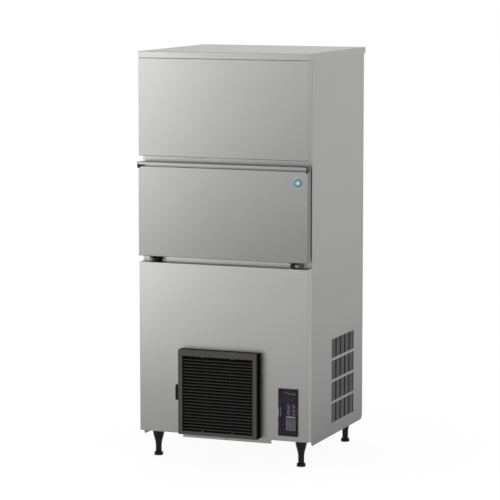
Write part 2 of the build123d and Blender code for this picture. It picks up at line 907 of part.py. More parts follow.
def control_fascia():
    """The plate in the well that carries the power switch and the service button."""
    plate = block((well_left + well_wall, well_right - well_wall),
                  (fascia_front, fascia_front + fascia_thickness),
                  (well_bottom + well_wall, well_top - well_wall))
    half_x = rocker_width / 2 + rocker_clearance
    half_z = rocker_height / 2 + rocker_clearance
    cut_y = (fascia_front, fascia_front + fascia_thickness)
    plate -= block((switch_centre_x - half_x, switch_centre_x + half_x), cut_y,
                   (switch_centre_z - half_z, switch_centre_z + half_z))
    bore = button_radius + button_clearance
    return plate - rod((switch_centre_x, cut_y[0], button_centre_z),
                       (switch_centre_x, cut_y[1], button_centre_z), bore)


def power_switch():
    """A rocker with two slanted halves and a round boss at each end of its pivot line."""
    middle_y = fascia_front + fascia_thickness / 2
    low = switch_centre_z - rocker_height / 2
    high = switch_centre_z + rocker_height / 2
    rocker = along_x([
        (middle_y - rocker_rise, low),
        (middle_y - rocker_depth / 4, switch_centre_z),
        (middle_y - rocker_rise, high),
        (middle_y + rocker_depth / 4, high),
        (middle_y + rocker_depth / 2, switch_centre_z),
        (middle_y + rocker_depth / 4, low),
    ], switch_centre_x - rocker_width / 2, switch_centre_x + rocker_width / 2)
    boss_x = rocker_width / 2 + rocker_boss_height
    return rocker + rod((switch_centre_x - boss_x, middle_y, switch_centre_z),
                        (switch_centre_x + boss_x, middle_y, switch_centre_z), rocker_boss_radius)


def service_button():
    front = fascia_front - button_rise
    back = fascia_front + fascia_thickness + button_travel
    return rod((switch_centre_x, front, button_centre_z),
               (switch_centre_x, back, button_centre_z), button_radius)


# Legs and feet

def leg(x, y):
    """A tapered moulded leg: an S curve from a wide top to a slim straight shank, and a bore."""
    bore = stud_radius + stud_clearance
    ankle_z = foot_flange_height + leg_ankle
    outline = [(bore, foot_flange_height), (leg_waist_radius, foot_flange_height)]
    for step in range(leg_curve_steps + 1):
        share = step / leg_curve_steps
        swell = (1 - math.cos(math.pi * share)) / 2
        radius = leg_waist_radius + (leg_top_radius - leg_waist_radius) * swell
        outline.append((radius, ankle_z + (pan_bottom - ankle_z) * share))
    outline.append((bore, pan_bottom))
    return turned(outlined(outline), x, y)


def foot(x, y):
    """A levelling foot: a bevelled flange under a stud that turns in the leg."""
    flange = rod((x, y, 0), (x, y, foot_flange_height), foot_flange_radius)
    flange = chamfer(flange.edges().group_by(Axis.Z)[-1], foot_edge_chamfer)
    return flange + rod((x, y, foot_flange_height), (x, y, foot_flange_height + stud_length),
                        stud_radius)


# Cooling machinery

condenser_y = (bin_front_y + condenser_gap, bin_front_y + condenser_gap + condenser_depth)
shroud_back = condenser_y[1] + shroud_depth
fan_middle_y = shroud_back - shroud_depth / 2
motor_front = fan_middle_y + fan_hub_length / 2 + motor_gap


def condenser():
    """A finned block between two header plates, standing on the pan."""
    x = (grille_left - condenser_header, grille_right + condenser_header)
    core = block(x, condenser_y, (pan_top, grille_top))
    fins = grille_right - grille_left
    pitch = fins / condenser_fin_count
    grooves = []
    for number in range(condenser_fin_count):
        left = grille_left + number * pitch
        groove_x = (left + condenser_fin_sheet / 2, left + pitch - condenser_fin_sheet / 2)
        groove_z = (pan_top + condenser_header, grille_top - condenser_header)
        front, back = condenser_y
        grooves.append(block(groove_x, (front, front + condenser_fin_groove), groove_z))
        grooves.append(block(groove_x, (back - condenser_fin_groove, back), groove_z))
    return core - grooves


def fan_shroud():
    """A box behind the condenser with a round mouth for the fan."""
    x = (grille_left - condenser_header, grille_right + condenser_header)
    y = (condenser_y[1], shroud_back)
    z = (pan_top, grille_top)
    shell = block(x, y, z)
    shell -= block((x[0] + shroud_sheet, x[1] - shroud_sheet), (y[0], y[1] - shroud_sheet),
                   (z[0] + shroud_sheet, z[1] - shroud_sheet))
    mouth = fan_radius + fan_tip_clearance
    shell -= rod((grille_middle_x, y[1] - shroud_sheet, grille_middle_z),
                 (grille_middle_x, y[1], grille_middle_z), mouth)
    return shell


def fan_blade():
    """A hub with pitched blades cut to a circle."""
    hub_y = (fan_middle_y - fan_hub_length / 2, fan_middle_y + fan_hub_length / 2)
    centre = (grille_middle_x, grille_middle_z)
    hub = rod((centre[0], hub_y[0], centre[1]), (centre[0], hub_y[1], centre[1]), fan_hub_radius)
    place = Pos(centre[0], fan_middle_y, centre[1])
    reach = fan_radius - fan_hub_radius / 2
    blade = Rot(fan_blade_pitch, 0, 0) * Box(reach, fan_blade_sheet, fan_blade_width)
    blade = Pos(fan_hub_radius / 2 + reach / 2, 0, 0) * blade
    disc_y = (fan_middle_y - fan_blade_width / 2, fan_middle_y + fan_blade_width / 2)
    disc = rod((centre[0], disc_y[0], centre[1]), (centre[0], disc_y[1], centre[1]), fan_radius)
    fan = hub
    for number in range(fan_blade_count):
        fan += (place * Rot(0, number * 360 / fan_blade_count, 0) * blade) & disc
    bore = motor_shaft_radius + fan_bore_clearance
    return fan - rod((centre[0], hub_y[0], centre[1]), (centre[0], hub_y[1], centre[1]), bore)


def fan_motor():
    """The fan's motor on a post from the pan, with its shaft through the hub."""
    x = grille_middle_x
    z = grille_middle_z
    shaft_start = fan_middle_y - fan_hub_length / 2
    can = rod((x, motor_front, z), (x, motor_front + motor_length, z), motor_radius)
    can += rod((x, shaft_start, z), (x, motor_front, z), motor_shaft_radius)
    post_y = (motor_front + motor_length / 4, motor_front + motor_length * 3 / 4)
    post = block((x - motor_post_width / 2, x + motor_post_width / 2), post_y, (pan_top, z))
    foot_plate = block((x - motor_radius, x + motor_radius), (motor_front, motor_front + motor_length),
                       (pan_top, pan_top + pan_thickness))
    return can + post + foot_plate


def compressor():
    """A canister with a coned crown on a square foot plate."""
    x = compressor_x
    y = compressor_y
    low = pan_top + compressor_foot
    top = low + compressor_height
    half = compressor_plate / 2
    body = rod((x, y, low), (x, y, top), compressor_radius)
    body = chamfer(body.edges().group_by(Axis.Z)[-1], compressor_crown)
    body += block((x - half, x + half), (y - half, y + half), (low, low + compressor_plate_sheet))
    for dx in (-1, 1):
        for dy in (-1, 1):
            px = x + dx * (half - compressor_foot)
            py = y + dy * (half - compressor_foot)
            body += rod((px, py, pan_top), (px, py, low), compressor_foot * 0.7)
    return body


def filter_drier():
    """The canister in the liquid line, standing on the pan with a pipe stub at its top."""
    y = shroud_back + drier_gap + drier_radius
    top = pan_top + drier_height
    canister = rod((compressor_x, y, pan_top), (compressor_x, y, top), drier_radius)
    return canister + rod((compressor_x, y, top), (compressor_x, y, top + drier_stub), pipe_radius)


def refrigerant_pipes():
    """The discharge pipe to the condenser, and the suction line below and above the bin."""
    top = pan_top + compressor_foot + compressor_height
    run_z = top + pipe_bend * 3 / 2
    head_y = (condenser_y[0] + condenser_y[1]) / 2
    discharge = tube_along([
        (compressor_x, compressor_y, top),
        (compressor_x, compressor_y, run_z),
        (compressor_x, head_y, run_z),
        (grille_right + condenser_header, head_y, run_z),
    ], pipe_bend, pipe_radius)
    stand_x = cavity_x + side_insulation / 2
    stand_y = rear_panel_y - rear_insulation / 2
    side_z = pan_top + compressor_foot + compressor_height / 2
    suction = tube_along([
        (compressor_x + compressor_radius, compressor_y, side_z),
        (stand_x, compressor_y, side_z),
        (stand_x, compressor_y, bin_bottom),
    ], pipe_bend, suction_radius)
    over_z = bar_top + 2 * pipe_bend
    coil_x = coil_end_inset + coil_width / 2 - tray_width / 2
    coil_y = tray_rear - coil_side_inset
    riser = tube_along([
        (stand_x, stand_y, bin_top),
        (stand_x, stand_y, over_z),
        (coil_x, coil_y, over_z),
        (coil_x, coil_y, tray_top + coil_height),
    ], pipe_bend, pipe_radius)
    return Compound(children=[discharge, suction, riser])


def control_box():
    """The closed box of electrical parts, hung under the bin."""
    right = inner_x - control_box_side_gap
    x = (right - control_box_width, right)
    front = face_y + control_box_front
    return block(x, (front, front + control_box_depth), (bin_bottom - control_box_height, bin_bottom))


# Ice making unit

def evaporator_tray():
    """A tray of square cells that open downwards, where the cubes freeze."""
    tray = block((-tray_width / 2, tray_width / 2), (tray_front, tray_rear), (tray_bottom, tray_top))
    pitch = cell_size + cell_wall
    cells = []
    for column in range(cell_columns):
        for row in range(cell_rows):
            x0 = -tray_width / 2 + cell_wall + column * pitch
            y0 = tray_front + cell_wall + row * pitch
            cells.append(block((x0, x0 + cell_size), (y0, y0 + cell_size),
                               (tray_bottom, tray_bottom + cell_depth)))
    return tray - cells


def evaporator_coil():
    """A flat-sided tube laid to and fro over the tray."""
    half = tray_width / 2 - coil_end_inset
    span = tray_depth - 2 * coil_side_inset
    pitch = span / (coil_runs - 1)
    points = []
    for run in range(coil_runs):
        y = tray_front + coil_side_inset + run * pitch
        ends = (-half, half) if run % 2 == 0 else (half, -half)
        points += [(ends[0], y), (ends[1], y)]
    path = FilletPolyline(*points, radius=pitch / 2 - coil_width / 8)
    start = Plane(origin=path @ 0, z_dir=path % 0, x_dir=(0, 1, 0))
    coil = sweep(start * Rectangle(coil_width, coil_height), path=path)
    return Pos(0, 0, tray_top + coil_height / 2) * coil


def ice_unit_frame():
    """Two standing plates with cross bars and hangers that carry the evaporator."""
    y = (face_y + unit_plate_front, face_y + unit_plate_rear)
    top = bar_top
    bar_span = unit_plate_x - unit_plate_sheet
    frame = None
    for side in (-1, 1):
        inner = side * (unit_plate_x - unit_plate_sheet)
        outer = side * unit_plate_x
        foot_end = side * (unit_plate_x + unit_plate_foot)
        plate = block(sorted((inner, outer)), y, (bin_top, top))
        plate += block(sorted((outer, foot_end)), y, (bin_top, bin_top + unit_plate_sheet))
        holes = (
            (pivot_y, pivot_z, pivot_radius + pivot_clearance),
            (cam_axis_y, cam_axis_z, cam_shaft_radius + cam_shaft_clearance),
        )
        for hole_y, hole_z, radius in holes:
            plate -= rod((inner, hole_y, hole_z), (outer, hole_y, hole_z), radius)
        frame = plate if frame is None else frame + plate
    for middle in (tray_front + hanger_width, tray_rear - hanger_width):
        bar_y = (middle - unit_bar_width / 2, middle + unit_bar_width / 2)
        frame += block((-bar_span, bar_span), bar_y, (top - unit_bar_width, top))
        for side in (-1, 1):
            x = side * (tray_width / 2 - hanger_width / 2)
            frame += block((x - hanger_width / 2, x + hanger_width / 2),
                           (middle - hanger_width / 2, middle + hanger_width / 2),
                           (tray_top, top - unit_bar_width))
    return frame


def water_plate():
    """The plate that closes the cells, with a jet under each, arms and a pivot shaft."""
    y = (tray_front - plate_margin, tray_rear + plate_margin)
    plate = block((-plate_half, plate_half), y, (plate_bottom, plate_top))
    pitch = cell_size + cell_wall
    half_jet = jet_size / 2
    jets = []
    for column in range(cell_columns):
        for row in range(cell_rows):
            x = -tray_width / 2 + cell_wall + cell_size / 2 + column * pitch
            jet_y = tray_front + cell_wall + cell_size / 2 + row * pitch
            jets.append(block((x - half_jet, x + half_jet), (jet_y - half_jet, jet_y + half_jet),
                              (plate_bottom, plate_top)))
    plate -= jets
    for side in (-1, 1):
        inner = side * (plate_half - plate_arm_width)
        arm_x = sorted((inner, side * plate_half))
        plate += block(arm_x, (y[1], pivot_y), (plate_bottom, plate_top))
        plate += block(arm_x, (spring_y, y[0]), (plate_bottom, plate_top))
        plate += rod((inner, spring_y, pivot_z), (side * plate_half, spring_y, pivot_z),
                     plate_thickness / 2)
        plate += rod((side * plate_half, spring_y, pivot_z),
                     (side * (cam_arm_x + spring_radius), spring_y, pivot_z), spring_pin_radius)
    plate += rod((-plate_half, pivot_y, pivot_z), (plate_half, pivot_y, pivot_z), plate_thickness / 2)
    return plate + rod((-unit_plate_x, pivot_y, pivot_z), (unit_plate_x, pivot_y, pivot_z),
                       pivot_radius)


def tank_sides():
    """The tank's place under the plate on each axis."""
    half = plate_half - tank_inset
    y = (tray_front + tank_inset, tray_rear)
    return (-half, half), y, (plate_bottom - tank_depth, plate_bottom)


def water_tank():
    x, y, z = tank_sides()
    tank = block(x, y, z)
    hollow = block((x[0] + tank_wall, x[1] - tank_wall), (y[0] + tank_wall, y[1] - tank_wall),
                   (z[0] + tank_wall, z[1]))
    return tank - hollow


def pump_motor():
    """The circulation pump on the tank's left wall."""
    x, y, z = tank_sides()
    centre_x = x[0] - pump_gap - pump_radius
    middle = (y[0] + y[1]) / 2
    can = rod((centre_x, middle, z[0]), (centre_x, middle, z[0] + pump_height), pump_radius)
    neck = block((centre_x, x[0]), (middle - pump_radius / 2, middle + pump_radius / 2),
                 (z[0] + tank_wall, z[0] + tank_depth / 2))
    return can + neck


def cam_shaft():
    """The shaft across the front of the unit with an arm and a pin for each spring."""
    axis = (cam_axis_y, cam_axis_z)
    end = unit_plate_x + unit_plate_sheet
    shaft = rod((-unit_plate_x, *axis), (end, *axis), cam_shaft_radius)
    for side in (-1, 1):
        inner = cam_arm_x - spring_radius - spring_pin_clearance - cam_arm_sheet
        outer = inner + cam_arm_sheet
        x = sorted((side * inner, side * outer))
        half = cam_arm_width / 2
        shaft += rod((x[0], *axis), (x[1], *axis), half)
        shaft += rod((x[0], spring_y, spring_top), (x[1], spring_y, spring_top), half)
        shaft += along_x([
            (axis[0] - half, axis[1]),
            (axis[0] + half, axis[1]),
            (spring_y + half, spring_top),
            (spring_y - half, spring_top),
        ], *x)
        shaft += rod((side * outer, spring_y, spring_top),
                     (side * (cam_arm_x + spring_radius), spring_y, spring_top), spring_pin_radius)
    return shaft


def plate_springs():
    """The two springs that hold the plate up, each with an eye at both ends."""
    eye = spring_pin_radius + spring_pin_clearance
    reach = eye * 3 / 2
    springs = []
    for side in (-1, 1):
        x = side * cam_arm_x
        spring = rod((x, spring_y, pivot_z + reach), (x, spring_y, spring_top - reach), spring_radius)
        for z in (pivot_z, spring_top):
            spring += rod((x - eye / 2, spring_y, z), (x + eye / 2, spring_y, z), 2 * eye)
        for z in (pivot_z, spring_top):
            spring -= rod((x - spring_radius, spring_y, z), (x + spring_radius, spring_y, z), eye)
        springs.append(spring)
    return Compound(children=springs)


def actuator_motor():
    """The geared motor on the right plate that turns the cam shaft."""
    x = (unit_plate_x, unit_plate_x + gear_motor_width)
    y = (cam_axis_y - gear_motor_depth / 2, cam_axis_y + gear_motor_depth / 2)
    z = (cam_axis_z - gear_motor_height / 2, cam_axis_z + gear_motor_height / 2)
    case = block(x, y, z)
    case = fillet(case.edges().filter_by(Axis.X), fold_radius)
    return case - rod((x[0], cam_axis_y, cam_axis_z),
                      (x[0] + 2 * unit_plate_sheet, cam_axis_y, cam_axis_z),
                      cam_shaft_radius + cam_shaft_clearance)


# Water, drain and power

def water_valve():
    """The inlet valve behind the rear skin, with a neck, a collar and a threaded end outside."""
    half = valve_body / 2
    y = (rear_panel_y - valve_body, rear_panel_y)
    valve = block((valve_x - half, valve_x + half), y, (valve_z - half, valve_z + half))
    middle = (y[0] + y[1]) / 2
    valve += rod((valve_x, middle, valve_z + half),
                 (valve_x, middle, valve_z + half + valve_coil_height / 2), valve_coil_radius)
    end = collar_y + valve_thread_length
    valve += rod((valve_x, y[1], valve_z), (valve_x, rear_skin_y, valve_z), valve_neck_radius)
    valve += rod((valve_x, rear_skin_y, valve_z), (valve_x, collar_y, valve_z), valve_collar_radius)
    valve += rod((valve_x, collar_y, valve_z), (valve_x, end, valve_z), valve_thread_radius)
    return valve - rod((valve_x, rear_panel_y, valve_z), (valve_x, end, valve_z), valve_bore_radius)


def bin_drain():
    """The drain pipe from the bin's floor down and out, with a collar and a hose spigot."""
    top = cavity_floor + liner_wall
    end = collar_y + drain_spigot_length
    drain = mitred_tube((top, drain_z, rear_skin_y), drain_pipe_radius)
    drain += rod((drain_x, rear_skin_y, drain_z), (drain_x, collar_y, drain_z), drain_collar_radius)
    drain += rod((drain_x, collar_y, drain_z), (drain_x, end, drain_z), drain_spigot_radius)
    return drain - mitred_tube((top, drain_z, end), drain_bore_radius)


def cable_gland():
    """The gland for a power cord, clamped on the rear skin."""
    inner_nut = rod((gland_x, rear_panel_y - gland_nut, gland_z), (gland_x, rear_panel_y, gland_z),
                    gland_radius)
    neck = rod((gland_x, rear_panel_y, gland_z), (gland_x, rear_skin_y, gland_z),
               gland_radius - gland_nut / 2)
    collar = rod((gland_x, rear_skin_y, gland_z), (gland_x, rear_y + gland_reach, gland_z),
                 gland_radius)
    bore = rod((gland_x, rear_panel_y - gland_nut, gland_z), (gland_x, rear_y + gland_reach, gland_z),
               gland_bore_radius)
    return inner_nut + neck + collar - bore


# Screws

def screw_head(x, y, z, outward):
    """A screw's head on a skin at y; outward is -1 at the front and 1 at the rear."""
    return rod((x, y, z), (x, y + outward * screw_head_height, z), screw_head_radius)


def panel_screws():
    """The strip's screw and the rear skin's screws."""
    heads = [screw_head(strip_screw_x, frame_front_y, cabinet_bottom + screw_head_height, -1)]
    levels = 3
    low = pan_bottom + screw_edge_inset
    high = lip_bottom - screw_edge_inset
    for level in range(levels):
        z = low + (high - low) * level / (levels - 1)
        for side in (-1, 1):
            x = side * (half_width - side_flange - screw_edge_inset)
            heads.append(screw_head(x, rear_skin_y, z, 1))
    return Compound(children=heads)


nodes = {
    "upper_front_panel": upper_front_panel(),
    "lower_front_panel": lower_front_panel(),
    "top_panel": top_panel(),
    "left_side_panel": side_panel(-1),
    "right_side_panel": right_side_panel(),
    "side_vent_grille": side_vent_grille(),
    "rear_panel": rear_panel(),
    "cabinet_front_frame": cabinet_front_frame(),
    "base_pan": base_pan(),
    "front_base_strip": front_base_strip(),
    "panel_screws": panel_screws(),
    "insulation_shell": insulation_shell(),
    "bin_liner": bin_liner(),
    "bin_sensor": bin_sensor(),
    "door_skin": door_skin(),
    "door_foam": door_foam(),
    "door_inner_liner": door_inner_liner(),
    "door_gasket": door_gasket(),
    "door_handle": door_handle(),
    "handle_cap_left": handle_cap(-1),
    "handle_cap_right": handle_cap(1),
    "hinge_bracket_left": hinge_bracket(-1),
    "hinge_bracket_right": hinge_bracket(1),
    "hinge_leaf_left": hinge_leaf(-1),
    "hinge_leaf_right": hinge_leaf(1),
    "front_louvre": front_louvre(),
    "air_filter": air_filter(),
    "control_frame": control_frame(),
    "control_cover": control_cover(),
    "control_fascia": control_fascia(),
    "power_switch": power_switch(),
    "service_button": service_button(),
    "condenser": condenser(),
    "fan_shroud": fan_shroud(),
    "fan_blade": fan_blade(),
    "fan_motor": fan_motor(),
    "compressor": compressor(),
    "filter_drier": filter_drier(),
    "refrigerant_pipes": refrigerant_pipes(),
    "control_box": control_box(),
    "evaporator_tray": evaporator_tray(),
    "evaporator_coil": evaporator_coil(),
    "ice_unit_frame": ice_unit_frame(),
    "water_plate": water_plate(),
    "water_tank": water_tank(),
    "pump_motor": pump_motor(),
    "cam_shaft": cam_shaft(),
    "plate_springs": plate_springs(),
    "actuator_motor": actuator_motor(),
    "water_valve": water_valve(),
    "bin_drain": bin_drain(),
    "cable_gland": cable_gland(),
}
for place, x, y in leg_places():
    nodes[f"leg_{place}"] = leg(x, y)
    nodes[f"foot_{place}"] = foot(x, y)

for name, shape in nodes.items():
    export_step(shape, f"parts/{name}.step")
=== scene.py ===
# Ice cube machine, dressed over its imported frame. All lengths are in metres.
import math

import bmesh
import bpy
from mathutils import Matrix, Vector


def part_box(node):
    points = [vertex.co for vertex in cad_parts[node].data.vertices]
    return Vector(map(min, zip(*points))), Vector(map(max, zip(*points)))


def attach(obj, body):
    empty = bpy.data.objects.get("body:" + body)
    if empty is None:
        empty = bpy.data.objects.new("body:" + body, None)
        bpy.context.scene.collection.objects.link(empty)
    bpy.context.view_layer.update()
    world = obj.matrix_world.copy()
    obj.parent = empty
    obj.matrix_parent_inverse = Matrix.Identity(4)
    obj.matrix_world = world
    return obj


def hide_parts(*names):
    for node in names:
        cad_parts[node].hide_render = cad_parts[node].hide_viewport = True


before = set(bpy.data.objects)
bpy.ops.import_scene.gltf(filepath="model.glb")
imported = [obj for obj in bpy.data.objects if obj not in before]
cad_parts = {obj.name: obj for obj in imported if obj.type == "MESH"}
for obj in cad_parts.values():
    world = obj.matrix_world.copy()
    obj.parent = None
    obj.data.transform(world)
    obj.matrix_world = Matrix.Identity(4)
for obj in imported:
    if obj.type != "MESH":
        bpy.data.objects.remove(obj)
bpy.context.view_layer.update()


def corners(node):
    """The low and high corner of a node as two vectors."""
    low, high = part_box(node)
    return Vector(low), Vector(high)


# Places taken from the frame

door_low, door_high = corners("door_skin")
fascia_low = corners("control_fascia")[0]
cover_low = corners("control_cover")[0]
switch_low, switch_high = corners("power_switch")
grille_low, grille_high = corners("side_vent_grille")
louvre_front = corners("front_louvre")[0].y
hinge_inner_end = -corners("hinge_bracket_left")[1].x
fascia_front = fascia_low.y
seat_depth = 0.0002

# Badge disc on the door's upper right corner

badge_x = door_high.x - 0.0405
badge_z = door_high.z - 0.0365
badge_radius = 0.0195
badge_edge = 0.0010
badge_bevel = 0.0008
badge_groove = 0.0006
badge_glint_shift = (0.0012, -0.0038)
badge_glint_reach = 0.0245
dome_radius = 0.0172
dome_start = 0.0013
dome_height = 0.0026
dome_tip = 0.0002
dome_steps = 9

# Legs

leg_waist = 0.012
leg_ankle = 0.025
leg_chamfer = 0.0008
leg_curve_steps = 24
leg_sides = 56

# Grille behind the side windows, with blades about three quarters as wide as their pitch

grille_rim = 0.009
grille_sheet = 0.0016
window_rows = 4
window_height = 0.075
window_bar = 0.011
window_blades = 5
blade_offset = 0.14
blade_share = 0.74

# Raised marks behind the smoked cover, measured from the fascia's lower left corner

dash_columns = ((0.0235, 0.0380), (0.0470, 0.0590))
dash_rows = 6
dash_start = 0.0745
dash_pitch = 0.0074
dash_height = 0.0038
dash_shortening = 0.003
dash_corner = 0.0014
dash_relief = 0.0006
long_dash_x = (0.0200, 0.0592)
long_dash_z = (0.0625, 0.0695)
long_dash_corner = 0.0026
long_dash_relief = 0.0008
surround_x = (0.0195, 0.0595)
surround_z = (0.0130, 0.0580)
surround_gap = 0.0010
surround_corner = 0.0004
surround_relief = 0.0007
# Pale arc across the top of the recess: a painted reflection, raised on the fascia
arc_start = 0.0070
arc_top = 0.1645
arc_length = 0.0560
arc_fall = 0.0060
arc_width = 0.0055
arc_thin_end = 0.4
arc_relief = 0.0010
arc_steps = 12

# Pale ridge beside the cover's finger tab, a painted highlight, measured from the cover's lower left
# corner

cover_grip_width = 0.0034
cover_grip_fade = 0.001
ridge_x = (0.0088, 0.0098)
ridge_z = (0.0729, 0.1099)
ridge_corner = 0.0004
ridge_relief = 0.0006

# Louvre's depths behind its front face, from its rim to its slats, over which painted shade darkens it

louvre_rim_depth = 0.0005
louvre_edge_depth = 0.0037
louvre_shade_depth = 0.0135

# Painted shade up each sheet, darker towards its bottom, as (height, share of the colour), lowest first

upper_shade_levels = [(1.19, 0.79), (1.575, 1.0)]
door_shade_levels = [(0.80, 0.75), (1.15, 1.0)]
lower_shade_levels = [(0.10, 0.68), (0.30, 0.78), (0.50, 0.90), (0.78, 0.97)]
side_shade_levels = [(0.09, 0.38), (0.25, 0.56), (0.60, 0.78), (1.2, 0.94), (1.58, 1.0)]
# Painted shade on the door skin's folded side edges: beyond this distance from the middle the steel takes
# this share
door_fold_reach = door_high.x - 0.0002
door_fold_shade_share = 0.5

# Grain of brushed sheet, as noise scales along X, Y and Z

brushed_across = (2.2, 2.2, 950.0)
brushed_top = (2.2, 950.0, 2.2)
brushed_plain = (4.0, 4.0, 600.0)
brushed_screw = (60.0, 60.0, 60.0)


# Node helpers

def new_material(name):
    """A material with nodes, its node tree and its shader."""
    material = bpy.data.materials.new(name)
    material.use_nodes = True
    tree = material.node_tree
    return material, tree, tree.nodes["Principled BSDF"]


def feed(tree, socket, value):
    """Link an output to a socket, or set a plain number or colour on it."""
    if isinstance(value, bpy.types.NodeSocket):
        tree.links.new(value, socket)
    else:
        socket.default_value = value


def object_place(tree):
    """The X, Y and Z of a surface point in the object's own frame."""
    where = tree.nodes.new("ShaderNodeTexCoord")
    split = tree.nodes.new("ShaderNodeSeparateXYZ")
    tree.links.new(where.outputs["Object"], split.inputs["Vector"])
    return split.outputs


def computed(tree, operation, *values, clamp=False):
    """The result of a math operation on outputs and plain numbers."""
    node = tree.nodes.new("ShaderNodeMath")
    node.operation = operation
    node.use_clamp = clamp
    for socket, value in zip(node.inputs, values):
        feed(tree, socket, value)
    return node.outputs["Value"]


def mapped(tree, value, source=(0.0, 1.0), target=(0.0, 1.0)):
    """Carry a value from a source range to a target range, held at its ends."""
    node = tree.nodes.new("ShaderNodeMapRange")
    for name, limit in zip(("From Min", "From Max", "To Min", "To Max"), (*source, *target)):
        node.inputs[name].default_value = limit
    tree.links.new(value, node.inputs["Value"])
    return node.outputs["Result"]


def mixed(tree, factor, first, second, blend="MIX"):
    """Mix or multiply two colours by a factor."""
    node = tree.nodes.new("ShaderNodeMix")
    node.data_type = "RGBA"
    node.blend_type = blend
    feed(tree, node.inputs["Factor"], factor)
    feed(tree, node.inputs["A"], first)
    feed(tree, node.inputs["B"], second)
    return node.outputs["Result"]


def ramp(tree, factor, stops):
    """A colour ramp from (place, colour) stops."""
    node = tree.nodes.new("ShaderNodeValToRGB")
    elements = node.color_ramp.elements
    elements[0].position, elements[0].color = stops[0][0], (*stops[0][1], 1)
    elements[1].position, elements[1].color = stops[-1][0], (*stops[-1][1], 1)
    for place, colour in stops[1:-1]:
        element = elements.new(place)
        element.color = (*colour, 1)
    tree.links.new(factor, node.inputs["Fac"])
    return node.outputs["Color"]


def noise(tree, scale, detail):
    """Noise in the object's own frame, with its own scale on each axis."""
    where = tree.nodes.new("ShaderNodeTexCoord")
    mapping = tree.nodes.new("ShaderNodeMapping")
    mapping.inputs["Scale"].default_value = scale
    texture = tree.nodes.new("ShaderNodeTexNoise")
    texture.inputs["Scale"].default_value = 1.0
    texture.inputs["Detail"].default_value = detail
    texture.inputs["Roughness"].default_value = 0.6
    tree.links.new(where.outputs["Object"], mapping.inputs["Vector"])
    tree.links.new(mapping.outputs["Vector"], texture.inputs["Vector"])
    return texture.outputs["Fac"]


def even_noise(tree, scale, detail):
    """Noise with the same scale on all axes."""
    return noise(tree, (scale, scale, scale), detail)


def bump(tree, shader, height, strength, distance):
    """Relief on a shader's surface from a height."""
    node = tree.nodes.new("ShaderNodeBump")
    node.inputs["Strength"].default_value = strength
    node.inputs["Distance"].default_value = distance
    tree.links.new(height, node.inputs["Height"])
    tree.links.new(node.outputs["Normal"], shader.inputs["Normal"])


def around(colour, share):
    """A darker and a lighter colour, a share below and above the given one."""
    dark = tuple(part * (1 - share) for part in colour)
    light = tuple(min(1.0, part * (1 + share)) for part in colour)
    return dark, light


def shade_by_height(tree, tone, shade_levels):
    """Painted shade: multiply a colour by shares of the largest share, which follow the height above the
    floor.
    """
    low, high = shade_levels[0][0], shade_levels[-1][0]
    most = max(share for height, share in shade_levels)
    place = mapped(tree, object_place(tree)["Z"], source=(low, high))
    stops = [((height - low) / (high - low), (share / most,) * 3) for height, share in shade_levels]
    return mixed(tree, 1.0, tone, ramp(tree, place, stops), blend="MULTIPLY")


def shade_beyond(tree, tone, reach, share):
    """Painted shade: multiply a colour by a share where X is further than reach from the middle."""
    distance = computed(tree, "ABSOLUTE", object_place(tree)["X"])
    outside = computed(tree, "GREATER_THAN", distance, reach)
    return mixed(tree, outside, tone, (share, share, share, 1), blend="MULTIPLY")


# Sheet metal and other metals

def steel(share):
    """The cabinet's steel colour at a share of its full tone; the share each sheet takes is painted light
    and shade.
    """
    return tuple(share * part for part in (0.372, 0.370, 0.366))


def brushed(name, colour, grain, roughness=0.34, shade_levels=None, shaded_returns=None):
    """Brushed sheet: fine long scratches, a slow cloudiness, and painted shade that darkens the sheet
    towards its bottom.

    The height list holds (height in metres, share of the colour), lowest first, for the painted shade up
    the sheet.
    The edge pair gives (distance from the middle in metres, share of the colour), for painted shade on the
    folded side edges.
    """
    cloud_scale = (1.6, 1.6, 2.6)
    cloud_share = 0.3
    material, tree, shader = new_material(name)
    dark, light = around(colour, 0.06)
    scratches = noise(tree, grain, detail=3.0)
    clouds = noise(tree, cloud_scale, detail=2.0)
    tone = mixed(tree, cloud_share, ramp(tree, scratches, [(0.3, dark), (0.7, light)]),
                 ramp(tree, clouds, [(0.35, dark), (0.65, light)]))
    if shade_levels:
        # Painted shade, darker towards the bottom of the sheet
        tone = shade_by_height(tree, tone, shade_levels)
    if shaded_returns:
        # Painted shade on the folded side edges
        tone = shade_beyond(tree, tone, *shaded_returns)
    tree.links.new(tone, shader.inputs["Base Color"])
    worn = mapped(tree, scratches, target=(roughness - 0.05, roughness + 0.07))
    tree.links.new(worn, shader.inputs["Roughness"])
    shader.inputs["Metallic"].default_value = 1.0
    bump(tree, shader, scratches, strength=0.10, distance=0.0004)
    return material


def galvanised():
    """Zinc-coated sheet with its spangle."""
    material, tree, shader = new_material("galvanised")
    where = tree.nodes.new("ShaderNodeTexCoord")
    cells = tree.nodes.new("ShaderNodeTexVoronoi")
    cells.inputs["Scale"].default_value = 85.0
    tree.links.new(where.outputs["Object"], cells.inputs["Vector"])
    spangle = tree.nodes.new("ShaderNodeSeparateColor")
    tree.links.new(cells.outputs["Color"], spangle.inputs["Color"])
    tone = ramp(tree, spangle.outputs["Red"], [(0.0, (0.47, 0.48, 0.50)), (1.0, (0.60, 0.61, 0.62))])
    tree.links.new(tone, shader.inputs["Base Color"])
    sheen = mapped(tree, spangle.outputs["Green"], target=(0.34, 0.5))
    tree.links.new(sheen, shader.inputs["Roughness"])
    shader.inputs["Metallic"].default_value = 0.95
    return material


def copper_like(name, colour, tarnish, roughness):
    """Drawn metal with patches of tarnish."""
    material, tree, shader = new_material(name)
    patches = even_noise(tree, 30.0, detail=5.0)
    tree.links.new(ramp(tree, patches, [(0.35, colour), (0.75, tarnish)]), shader.inputs["Base Color"])
    dull = mapped(tree, patches, target=(roughness - 0.08, roughness + 0.15))
    tree.links.new(dull, shader.inputs["Roughness"])
    shader.inputs["Metallic"].default_value = 1.0
    return material


